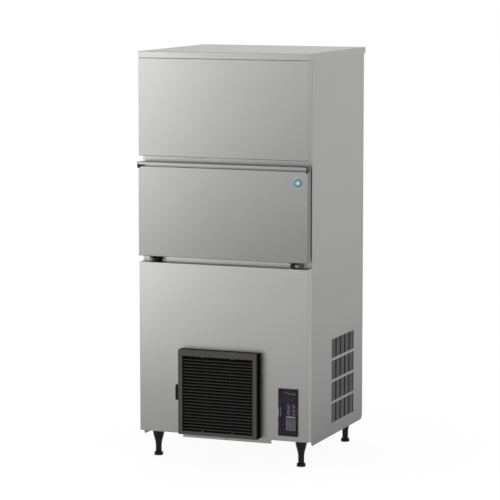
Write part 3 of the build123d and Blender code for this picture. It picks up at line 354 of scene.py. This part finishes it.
def hinge_paint():
    """Painted metal of the hinges, toned by distance from the middle along X: grey at the inner end, near
    black across the middle, and grey towards the cabinet's edge.
    """
    black = (0.005, 0.005, 0.005)
    material, tree, shader = new_material("bracket_dark")
    distance = computed(tree, "ABSOLUTE", object_place(tree)["X"])
    bands = ((0.0005, (0.36, 0.36, 0.35)), (0.0025, black), (0.0190, black), (0.0215, (0.24, 0.235, 0.23)))
    stops = [(hinge_inner_end + reach, colour) for reach, colour in bands]
    tree.links.new(ramp(tree, distance, stops), shader.inputs["Base Color"])
    worn = even_noise(tree, 60.0, detail=4.0)
    tree.links.new(mapped(tree, worn, target=(0.35, 0.55)), shader.inputs["Roughness"])
    shader.inputs["Specular IOR Level"].default_value = 0.16
    bump(tree, shader, worn, strength=0.08, distance=0.0005)
    return material


def black_paint():
    """Thick glossy paint with an orange-peel skin."""
    material, tree, shader = new_material("black_paint")
    peel = even_noise(tree, 120.0, detail=2.0)
    tone = ramp(tree, peel, [(0.3, (0.010, 0.010, 0.011)), (0.7, (0.018, 0.018, 0.020))])
    tree.links.new(tone, shader.inputs["Base Color"])
    shader.inputs["Roughness"].default_value = 0.3
    shader.inputs["Coat Weight"].default_value = 0.6
    shader.inputs["Coat Roughness"].default_value = 0.08
    bump(tree, shader, peel, strength=0.15, distance=0.0008)
    return material


def fins():
    """Aluminium with fine upright pleats; the dark stripes between them are painted shade."""
    material, tree, shader = new_material("fins")
    where = tree.nodes.new("ShaderNodeTexCoord")
    pleats = tree.nodes.new("ShaderNodeTexWave")
    pleats.inputs["Scale"].default_value = 160.0
    tree.links.new(where.outputs["Object"], pleats.inputs["Vector"])
    # Painted shade in the dark stripes between the pleats
    tone = ramp(tree, pleats.outputs["Fac"], [(0.2, (0.30, 0.31, 0.32)), (0.8, (0.72, 0.73, 0.74))])
    tree.links.new(tone, shader.inputs["Base Color"])
    shader.inputs["Metallic"].default_value = 0.9
    shader.inputs["Roughness"].default_value = 0.4
    bump(tree, shader, pleats.outputs["Fac"], strength=0.3, distance=0.0006)
    return material


# Plastics, rubber and foam

def moulded(name, colour, roughness=0.5, grain=900.0, relief=0.12, variation=0.25, gloss=0.5):
    """Moulded plastic: a fine spark texture with small changes of tone."""
    material, tree, shader = new_material(name)
    dark, light = around(colour, variation)
    spark = even_noise(tree, grain, detail=2.0)
    clouds = even_noise(tree, 9.0, detail=3.0)
    tree.links.new(ramp(tree, clouds, [(0.3, dark), (0.7, light)]), shader.inputs["Base Color"])
    worn = mapped(tree, clouds, target=(roughness - 0.06, roughness + 0.06))
    tree.links.new(worn, shader.inputs["Roughness"])
    shader.inputs["Specular IOR Level"].default_value = gloss
    bump(tree, shader, spark, strength=relief, distance=0.0003)
    return material


def louvre_plastic():
    """Black moulding that is grey and glossy on its front, with painted shade: darker and less glossy with
    depth, and near black on its sides.
    """
    depths = (louvre_rim_depth, louvre_edge_depth, louvre_shade_depth)
    tones = ((0.036, 0.034, 0.032), (0.020, 0.019, 0.018), (0.004, 0.004, 0.004))
    depth_shade_glosses = (0.42, 0.36, 0.05)
    side_shade_black = (0.004, 0.004, 0.004, 1)
    material, tree, shader = new_material("louvre_dark")
    front, back = louvre_front + depths[0], louvre_front + depths[-1]
    place = mapped(tree, object_place(tree)["Y"], source=(front, back))
    shares = [(depth - depths[0]) / (depths[-1] - depths[0]) for depth in depths]
    facing = tree.nodes.new("ShaderNodeNewGeometry")
    normal = tree.nodes.new("ShaderNodeSeparateXYZ")
    tree.links.new(facing.outputs["Normal"], normal.inputs["Vector"])
    side_shade = computed(tree, "ABSOLUTE", normal.outputs["X"])
    # Painted shade: darker with depth, and near black on faces that look sideways
    tone = ramp(tree, place, list(zip(shares, tones)))
    tree.links.new(mixed(tree, side_shade, tone, side_shade_black), shader.inputs["Base Color"])
    gloss = ramp(tree, place, [(share, (level,) * 3) for share, level in zip(shares, depth_shade_glosses)])
    tree.links.new(mixed(tree, side_shade, gloss, side_shade_black), shader.inputs["Specular IOR Level"])
    shader.inputs["Roughness"].default_value = 0.55
    bump(tree, shader, even_noise(tree, 1100.0, detail=2.0), strength=0.12, distance=0.0003)
    return material


def smoked():
    """A smoked clear moulding, dark violet brown, with a soft gloss and a solid finger grip."""
    grip = cover_low.x + cover_grip_width
    clear_share = 0.28
    material, tree, shader = new_material("smoked")
    haze = even_noise(tree, 14.0, detail=3.0)
    tone = ramp(tree, haze, [(0.3, (0.032, 0.021, 0.040)), (0.7, (0.050, 0.036, 0.064))])
    tree.links.new(tone, shader.inputs["Base Color"])
    solid = mapped(tree, object_place(tree)["X"], source=(grip, grip + cover_grip_fade),
                   target=(1.0, clear_share))
    tree.links.new(solid, shader.inputs["Alpha"])
    shader.inputs["Roughness"].default_value = 0.12
    shader.inputs["Specular IOR Level"].default_value = 0.2
    shader.inputs["Coat Weight"].default_value = 0.08
    shader.inputs["Coat Roughness"].default_value = 0.05
    return material


def badge_enamel():
    """A domed resin disc whose blue tone follows the distance from a point below its middle: a painted
    highlight in the centre, painted shade towards the lower right edge, and a paler painted reflection
    along the upper left edge.
    """
    cloudiness = 0.10
    material, tree, shader = new_material("badge_blue")
    where = tree.nodes.new("ShaderNodeTexCoord")
    flat = tree.nodes.new("ShaderNodeVectorMath")
    flat.operation = "MULTIPLY"
    flat.inputs[1].default_value = (1, 0, 1)
    tree.links.new(where.outputs["Object"], flat.inputs[0])
    distance = tree.nodes.new("ShaderNodeVectorMath")
    distance.operation = "DISTANCE"
    distance.inputs[1].default_value = (badge_x + badge_glint_shift[0], 0, badge_z + badge_glint_shift[1])
    tree.links.new(flat.outputs["Vector"], distance.inputs[0])
    share = computed(tree, "DIVIDE", distance.outputs["Value"], badge_glint_reach)
    cloud = computed(tree, "MULTIPLY_ADD", even_noise(tree, 90.0, detail=2.0), cloudiness, share)
    # Painted highlight, shade and reflection over the blue enamel
    stops = [(0.08, (0.58, 0.86, 0.93)), (0.26, (0.36, 0.62, 0.71)), (0.44, (0.13, 0.28, 0.34)),
             (0.62, (0.07, 0.14, 0.18)), (0.78, (0.28, 0.38, 0.42)), (0.95, (0.40, 0.48, 0.51))]
    tree.links.new(ramp(tree, cloud, stops), shader.inputs["Base Color"])
    shader.inputs["Roughness"].default_value = 0.18
    shader.inputs["Specular IOR Level"].default_value = 0.3
    shader.inputs["Coat Weight"].default_value = 0.25
    shader.inputs["Coat Roughness"].default_value = 0.05
    return material


# Materials

# One steel at a share per sheet: lit and shaded copies, painted light and shade
steel_upper = brushed("steel_upper", steel(0.91), brushed_across, shade_levels=upper_shade_levels)
steel_door = brushed("steel_door", steel(0.75), brushed_across, shade_levels=door_shade_levels,
                     shaded_returns=(door_fold_reach, door_fold_shade_share))
steel_lower = brushed("steel_lower", steel(0.93), brushed_across, shade_levels=lower_shade_levels)
steel_side = brushed("steel_side", steel(0.92), brushed_across, shade_levels=side_shade_levels)
steel_top = brushed("steel_top", steel(0.95), brushed_top)
steel_rail = brushed("steel_rail", steel(0.74), brushed_across)
steel_frame = brushed("steel_frame", steel(0.92), brushed_across)
steel_plain = brushed("steel_plain", (0.58, 0.58, 0.58), brushed_plain, roughness=0.42)
screw_steel = brushed("screw_steel", (0.22, 0.22, 0.21), brushed_screw, roughness=0.3)
black_moulded = moulded("black_moulded", (0.010, 0.010, 0.011), roughness=0.42, gloss=0.2)
vent_grey = moulded("vent_grey", (0.036, 0.036, 0.037), gloss=0.2)
window_black = moulded("window_black", (0.008, 0.008, 0.009), roughness=0.35, gloss=0.14)
leg_black = moulded("leg_black", (0.005, 0.005, 0.005), roughness=0.2, relief=0.03, gloss=0.14)
print_pale = moulded("print_pale", (0.78, 0.78, 0.82), relief=0.05, variation=0.06)
print_grey = moulded("print_grey", (0.46, 0.46, 0.50), relief=0.05, variation=0.10)
print_dim = moulded("print_dim", (0.34, 0.34, 0.37), relief=0.05, variation=0.10)
white_moulded = moulded("white_moulded", (0.78, 0.79, 0.79), roughness=0.38, relief=0.06,
                        variation=0.03)
foam = moulded("foam", (0.80, 0.72, 0.50), roughness=0.85, grain=500.0, relief=0.5, variation=0.08)
rubber = moulded("rubber", (0.014, 0.014, 0.014), roughness=0.62, grain=700.0, relief=0.1)
green_moulded = moulded("green_moulded", (0.008, 0.045, 0.022), roughness=0.35, relief=0.03,
                        gloss=0.2)
drain_grey = moulded("drain_grey", (0.20, 0.21, 0.22), roughness=0.42, relief=0.05)
filter_dark = moulded("filter_dark", (0.005, 0.005, 0.005), roughness=0.6, grain=700.0, relief=0.3,
                      gloss=0.12)
louvre_dark = louvre_plastic()
zinc = galvanised()
copper = copper_like("copper", (0.62, 0.30, 0.19), (0.33, 0.15, 0.10), roughness=0.3)
tinned = copper_like("tinned", (0.66, 0.65, 0.62), (0.52, 0.51, 0.49), roughness=0.34)
paint = black_paint()
fin_metal = fins()
smoke = smoked()
badge_blue = badge_enamel()
bracket_dark = hinge_paint()

by_node = {
    "upper_front_panel": steel_upper, "lower_front_panel": steel_lower, "top_panel": steel_top,
    "left_side_panel": steel_side, "right_side_panel": steel_side, "rear_panel": steel_side,
    "front_base_strip": steel_lower, "panel_screws": screw_steel, "door_skin": steel_door,
    "door_handle": steel_rail, "hinge_leaf_left": window_black, "hinge_leaf_right": window_black,
    "cabinet_front_frame": steel_frame, "base_pan": zinc, "fan_shroud": zinc,
    "ice_unit_frame": steel_plain, "cam_shaft": steel_plain, "plate_springs": steel_plain,
    "control_box": zinc, "insulation_shell": foam, "door_foam": foam, "bin_liner": white_moulded,
    "door_inner_liner": white_moulded, "water_plate": white_moulded, "water_tank": white_moulded,
    "control_fascia": window_black, "side_vent_grille": vent_grey,
    "handle_cap_left": window_black, "handle_cap_right": window_black, "front_louvre": louvre_dark,
    "air_filter": filter_dark, "control_frame": window_black, "power_switch": print_dim,
    "fan_blade": black_moulded, "pump_motor": black_moulded, "water_valve": black_moulded,
    "cable_gland": black_moulded, "actuator_motor": black_moulded,
    "hinge_bracket_left": bracket_dark, "hinge_bracket_right": bracket_dark,
    "service_button": green_moulded, "control_cover": smoke, "bin_drain": drain_grey,
    "door_gasket": rubber, "condenser": fin_metal, "compressor": paint, "fan_motor": paint,
    "refrigerant_pipes": copper, "evaporator_coil": copper, "filter_drier": copper,
    "bin_sensor": copper, "evaporator_tray": tinned,
}
for name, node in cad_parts.items():
    material = leg_black if name.startswith(("leg_", "foot_")) else by_node[name]
    node.data.materials.clear()
    node.data.materials.append(material)


# Mesh helpers

def piece(name, mesh_maker, material, body):
    """Make an object from a bmesh function, and let it ride on a body."""
    mesh = bpy.data.meshes.new(name)
    bm = bmesh.new()
    mesh_maker(bm)
    bmesh.ops.recalc_face_normals(bm, faces=bm.faces)
    bm.to_mesh(mesh)
    bm.free()
    made = bpy.data.objects.new(name, mesh)
    bpy.context.scene.collection.objects.link(made)
    mesh.materials.append(material)
    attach(made, body)
    return made


def lathe(bm, point_at, profile, sides=64):
    """Turn (radius, distance) points; point_at(radius, angle, distance) places each one."""
    rings = []
    for radius, distance in profile:
        rings.append([bm.verts.new(point_at(radius, 2 * math.pi * side / sides, distance))
                      for side in range(sides)])
    for lower, upper in zip(rings, rings[1:]):
        for side in range(sides):
            following = (side + 1) % sides
            bm.faces.new((lower[side], lower[following], upper[following], upper[side]))
    bm.faces.new(rings[0])
    bm.faces.new(rings[-1])


def sharp_edges(mesh, steepest):
    """The edges whose two faces turn by more than steepest radians."""
    bm = bmesh.new()
    bm.from_mesh(mesh)
    sharp = [edge.index for edge in bm.edges if edge.calc_face_angle(0.0) > steepest]
    bm.free()
    return sharp


def smooth_sides(made):
    """Shade a turned piece smooth, apart from its sharp edges."""
    for polygon in made.data.polygons:
        polygon.use_smooth = True
    for edge in sharp_edges(made.data, steepest=0.6):
        made.data.edges[edge].use_edge_sharp = True


def slab(bm, low, high):
    """A board along the axes, between two corners."""
    x, y, z = zip(low, high)
    points = [bm.verts.new((x[i], y[j], z[k])) for i in (0, 1) for j in (0, 1) for k in (0, 1)]
    for face in ((0, 1, 3, 2), (4, 6, 7, 5), (0, 4, 5, 1), (2, 3, 7, 6), (0, 2, 6, 4), (1, 5, 7, 3)):
        bm.faces.new([points[corner] for corner in face])


def raised(bm, outline, back, front):
    """A flat shape in XZ, given by its (x, z) outline, raised from back to front along Y."""
    lower = [bm.verts.new((x, back, z)) for x, z in outline]
    upper = [bm.verts.new((x, front, z)) for x, z in outline]
    bm.faces.new(upper)
    bm.faces.new(lower[::-1])
    for start in range(len(outline)):
        end = (start + 1) % len(outline)
        bm.faces.new((lower[start], lower[end], upper[end], upper[start]))


def rounded(x, z, radius, steps=5):
    """The outline of a rectangle with round corners."""
    left, right = x[0] + radius, x[1] - radius
    bottom, top = z[0] + radius, z[1] - radius
    points = []
    for quarter, (cx, cz) in enumerate(((right, top), (left, top), (left, bottom), (right, bottom))):
        for step in range(steps + 1):
            angle = (quarter + step / steps) * math.pi / 2
            points.append((cx + radius * math.cos(angle), cz + radius * math.sin(angle)))
    return points


def moved(span, start):
    """A span's two ends, measured from a start."""
    return start + span[0], start + span[1]


# A blank domed disc with a stepped rim, on the door's upper right corner.

def badge_disc(bm):
    """The disc, turned about an axis that looks to the front."""
    rim_front = badge_edge + badge_bevel
    profile = [
        (badge_radius, seat_depth),
        (badge_radius, -badge_edge),
        (badge_radius - badge_bevel, -rim_front),
        (dome_radius + badge_groove, -rim_front),
        (dome_radius, -dome_start),
    ]
    for step in range(1, dome_steps + 1):
        angle = step / dome_steps * math.pi / 2
        profile.append((dome_radius * math.cos(angle) + dome_tip,
                        -dome_start - dome_height * math.sin(angle)))

    def point_at(radius, angle, depth):
        return (badge_x + radius * math.cos(angle), door_low.y + depth,
                badge_z + radius * math.sin(angle))

    lathe(bm, point_at, profile)


smooth_sides(piece("badge_disc", badge_disc, badge_blue, "door"))


# The legs, turned with a smooth S curve.

def leg_maker(node):
    """A function that turns the leg which stands for a node."""
    low, high = corners(node)
    middle = (low + high) / 2
    swell = (high.x - low.x) / 2 - leg_waist
    rise = high.z - low.z - leg_ankle

    def point_at(radius, angle, height):
        return (middle.x + radius * math.cos(angle), middle.y + radius * math.sin(angle), height)

    def make(bm):
        profile = [(leg_waist - leg_chamfer, low.z), (leg_waist, low.z + leg_chamfer)]
        for step in range(leg_curve_steps + 1):
            share = step / leg_curve_steps
            radius = leg_waist + swell * (1 - math.cos(math.pi * share)) / 2
            profile.append((radius, low.z + leg_ankle + rise * share))
        lathe(bm, point_at, profile, sides=leg_sides)

    return make


for place in ("front_left", "front_right", "rear_left", "rear_right"):
    turned_leg = piece("smooth_leg_" + place, leg_maker("leg_" + place), leg_black, "cabinet")
    smooth_sides(turned_leg)
    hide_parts("leg_" + place)


# The grille behind the side windows: a frame with bars, and angled blades in each row.

def grille_bars():
    """The lower and upper edge of each bar, lowest first."""
    bars = [(grille_low.z, grille_low.z + grille_rim)]
    for row in range(window_rows):
        edge = grille_low.z + grille_rim + row * (window_height + window_bar) + window_height
        bars.append((edge, min(edge + window_bar, grille_high.z)))
    return bars


def side_grille(bm):
    """The bars, the rims at both ends, and each row's blades with their bent edges."""
    front, back = grille_low.y + grille_rim, grille_high.y - grille_rim
    pitch = (back - front) / window_blades
    bars = grille_bars()
    rows = [(below[1], above[0]) for below, above in zip(bars, bars[1:])]
    outer_sheet = grille_high.x - grille_sheet
    for bottom, top in bars:
        slab(bm, (grille_low.x, grille_low.y, bottom), (grille_high.x, grille_high.y, top))
    for start, end in ((grille_low.y, front), (back, grille_high.y)):
        for bottom, top in rows:
            slab(bm, (grille_low.x, start, bottom), (grille_high.x, end, top))
    for bottom, top in rows:
        for number in range(window_blades):
            start = front + (number + blade_offset) * pitch
            slab(bm, (outer_sheet, start, bottom), (grille_high.x, start + blade_share * pitch, top))
            slab(bm, (grille_low.x, start, bottom), (outer_sheet, start + grille_sheet, top))


grille = piece("side_grille", side_grille, vent_grey, "cabinet")
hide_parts("side_vent_grille")


# Behind the smoked cover: two columns of short raised dashes, a long one, a pale arc that is a painted
# reflection, and the switch
# surround. On the cover: a pale ridge that is a painted highlight.

def on_fascia(bm, outline, relief):
    """A shape raised from the fascia by a relief."""
    raised(bm, outline, fascia_front + seat_depth, fascia_front - relief)


def dashes(bm):
    """Two columns of short dashes, every second one a little shorter."""
    for column in dash_columns:
        left, right = moved(column, fascia_low.x)
        for row in range(dash_rows):
            bottom = fascia_low.z + dash_start + row * dash_pitch
            x = (left, right - dash_shortening * (row % 2))
            on_fascia(bm, rounded(x, (bottom, bottom + dash_height), dash_corner), dash_relief)


def long_dash(bm):
    """One long dash below the columns."""
    x, z = moved(long_dash_x, fascia_low.x), moved(long_dash_z, fascia_low.z)
    on_fascia(bm, rounded(x, z, long_dash_corner), long_dash_relief)


def switch_surround(bm):
    """Four strips round the power switch."""
    left, right = moved(surround_x, fascia_low.x)
    bottom, top = moved(surround_z, fascia_low.z)
    inner_left, inner_right = switch_low.x - surround_gap, switch_high.x + surround_gap
    inner_bottom, inner_top = switch_low.z - surround_gap, switch_high.z + surround_gap
    strips = (
        ((left, inner_left), (bottom, top)),
        ((inner_right, right), (bottom, top)),
        ((inner_left, inner_right), (bottom, inner_bottom)),
        ((inner_left, inner_right), (inner_top, top)),
    )
    for x, z in strips:
        on_fascia(bm, rounded(x, z, surround_corner, steps=2), surround_relief)


def arc_edge(drop):
    """Points along the pale arc's upper edge, or below it by a drop that grows from left to right."""
    points = []
    for step in range(arc_steps + 1):
        share = step / arc_steps
        x = fascia_low.x + arc_start + arc_length * share
        fall = arc_fall * math.sin(math.pi / 2 * share)
        width = drop * (arc_thin_end + (1 - arc_thin_end) * share)
        points.append((x, fascia_low.z + arc_top - fall - width))
    return points


def reflection_arc(bm):
    """A pale curved band across the top of the recess: a painted reflection, raised on the fascia."""
    on_fascia(bm, arc_edge(0.0) + arc_edge(arc_width)[::-1], arc_relief)


def highlight_ridge(bm):
    """The upright pale ridge beside the cover's finger tab: a painted highlight."""
    outline = rounded(moved(ridge_x, cover_low.x), moved(ridge_z, cover_low.z), ridge_corner)
    raised(bm, outline, cover_low.y + seat_depth, cover_low.y - ridge_relief)


piece("panel_dashes", dashes, print_grey, "cabinet")
piece("panel_long_dash", long_dash, print_pale, "cabinet")
piece("switch_surround", switch_surround, print_dim, "cabinet")
# The pale arc is a painted reflection
piece("painted_reflection_arc", reflection_arc, print_dim, "cabinet")
# The pale ridge on the cover is a painted highlight
piece("highlight_ridge", highlight_ridge, print_dim, "control_cover")


# Studio

def seen_rays(tree):
    """1 for rays that show the background: straight, in gloss, or through glass."""
    path = tree.nodes.new("ShaderNodeLightPath")
    total = path.outputs["Is Camera Ray"]
    for kind in ("Is Glossy Ray", "Is Transmission Ray"):
        total = computed(tree, "ADD", total, path.outputs[kind], clamp=True)
    return total


def floor_material():
    """Pale matt floor that the camera sees as white, apart from the shadow on it."""
    white_strength = 1.04
    white_share = 0.88
    material, tree, shader = new_material("floor_white")
    shader.inputs["Base Color"].default_value = (0.86, 0.86, 0.86, 1)
    shader.inputs["Roughness"].default_value = 0.9
    glow = tree.nodes.new("ShaderNodeEmission")
    glow.inputs["Color"].default_value = (1, 1, 1, 1)
    glow.inputs["Strength"].default_value = white_strength
    mix = tree.nodes.new("ShaderNodeMixShader")
    tree.links.new(computed(tree, "MULTIPLY", seen_rays(tree), white_share), mix.inputs["Fac"])
    tree.links.new(shader.outputs[0], mix.inputs[1])
    tree.links.new(glow.outputs[0], mix.inputs[2])
    tree.links.new(mix.outputs[0], tree.nodes["Material Output"].inputs["Surface"])
    return material


def floor():
    """A wide plain floor under the feet."""
    reach = 40.0
    mesh = bpy.data.meshes.new("floor")
    bm = bmesh.new()
    for x, y in ((-reach, -reach), (reach, -reach), (reach, reach), (-reach, reach)):
        bm.verts.new((x, y, 0))
    bm.faces.new(bm.verts)
    bm.to_mesh(mesh)
    bm.free()
    made = bpy.data.objects.new("floor", mesh)
    bpy.context.scene.collection.objects.link(made)
    mesh.materials.append(floor_material())


def area_light(name, place, target, size, power):
    """A rectangular lamp that looks at a target."""
    data = bpy.data.lights.new(name, "AREA")
    data.shape = "RECTANGLE"
    data.size, data.size_y = size
    data.energy = power
    lamp = bpy.data.objects.new(name, data)
    bpy.context.scene.collection.objects.link(lamp)
    lamp.location = place
    lamp.rotation_euler = (Vector(target) - Vector(place)).to_track_quat("-Z", "Y").to_euler()


def studio_world():
    """A white room: brighter to the front left, a little darker to the right and behind."""
    side_slope = -0.42
    middle = 0.5
    up_slope = 0.25
    tones = [(0.0, (0.42, 0.42, 0.42)), (0.5, (0.72, 0.72, 0.72)), (1.0, (1.0, 1.0, 1.0))]
    world = bpy.data.worlds.new("studio")
    bpy.context.scene.world = world
    world.use_nodes = True
    tree = world.node_tree
    background = tree.nodes["Background"]
    where = tree.nodes.new("ShaderNodeTexCoord")
    split = tree.nodes.new("ShaderNodeSeparateXYZ")
    tree.links.new(where.outputs["Generated"], split.inputs["Vector"])
    side = computed(tree, "MULTIPLY_ADD", split.outputs["X"], side_slope, middle)
    up = computed(tree, "MULTIPLY_ADD", split.outputs["Z"], up_slope, side)
    shown = mixed(tree, seen_rays(tree), ramp(tree, up, tones), (1, 1, 1, 1))
    tree.links.new(shown, background.inputs["Color"])
    background.inputs["Strength"].default_value = 1.0


def camera():
    """A view from the front right, a little above the top."""
    yaw = 0.37342
    pitch = 0.12522
    data = bpy.data.cameras.new("camera")
    data.sensor_width = 36.0
    data.lens = 177.82
    data.clip_end = 200.0
    eye = bpy.data.objects.new("camera", data)
    bpy.context.scene.collection.objects.link(eye)
    eye.location = (3.54772, -9.07925, 2.02961)
    eye.rotation_euler = (math.pi / 2 - pitch, 0, yaw)
    bpy.context.scene.camera = eye


floor()
area_light("key", place=(-1.95, -3.0, 1.25), target=(-0.3, -0.3, 1.0), size=(0.7, 2.5), power=21)
area_light("fill", place=(4.2, -2.4, 2.4), target=(0, 0, 0.8), size=(2.4, 2.4), power=20)
studio_world()
camera()
bpy.context.scene.view_settings.view_transform = "Standard"
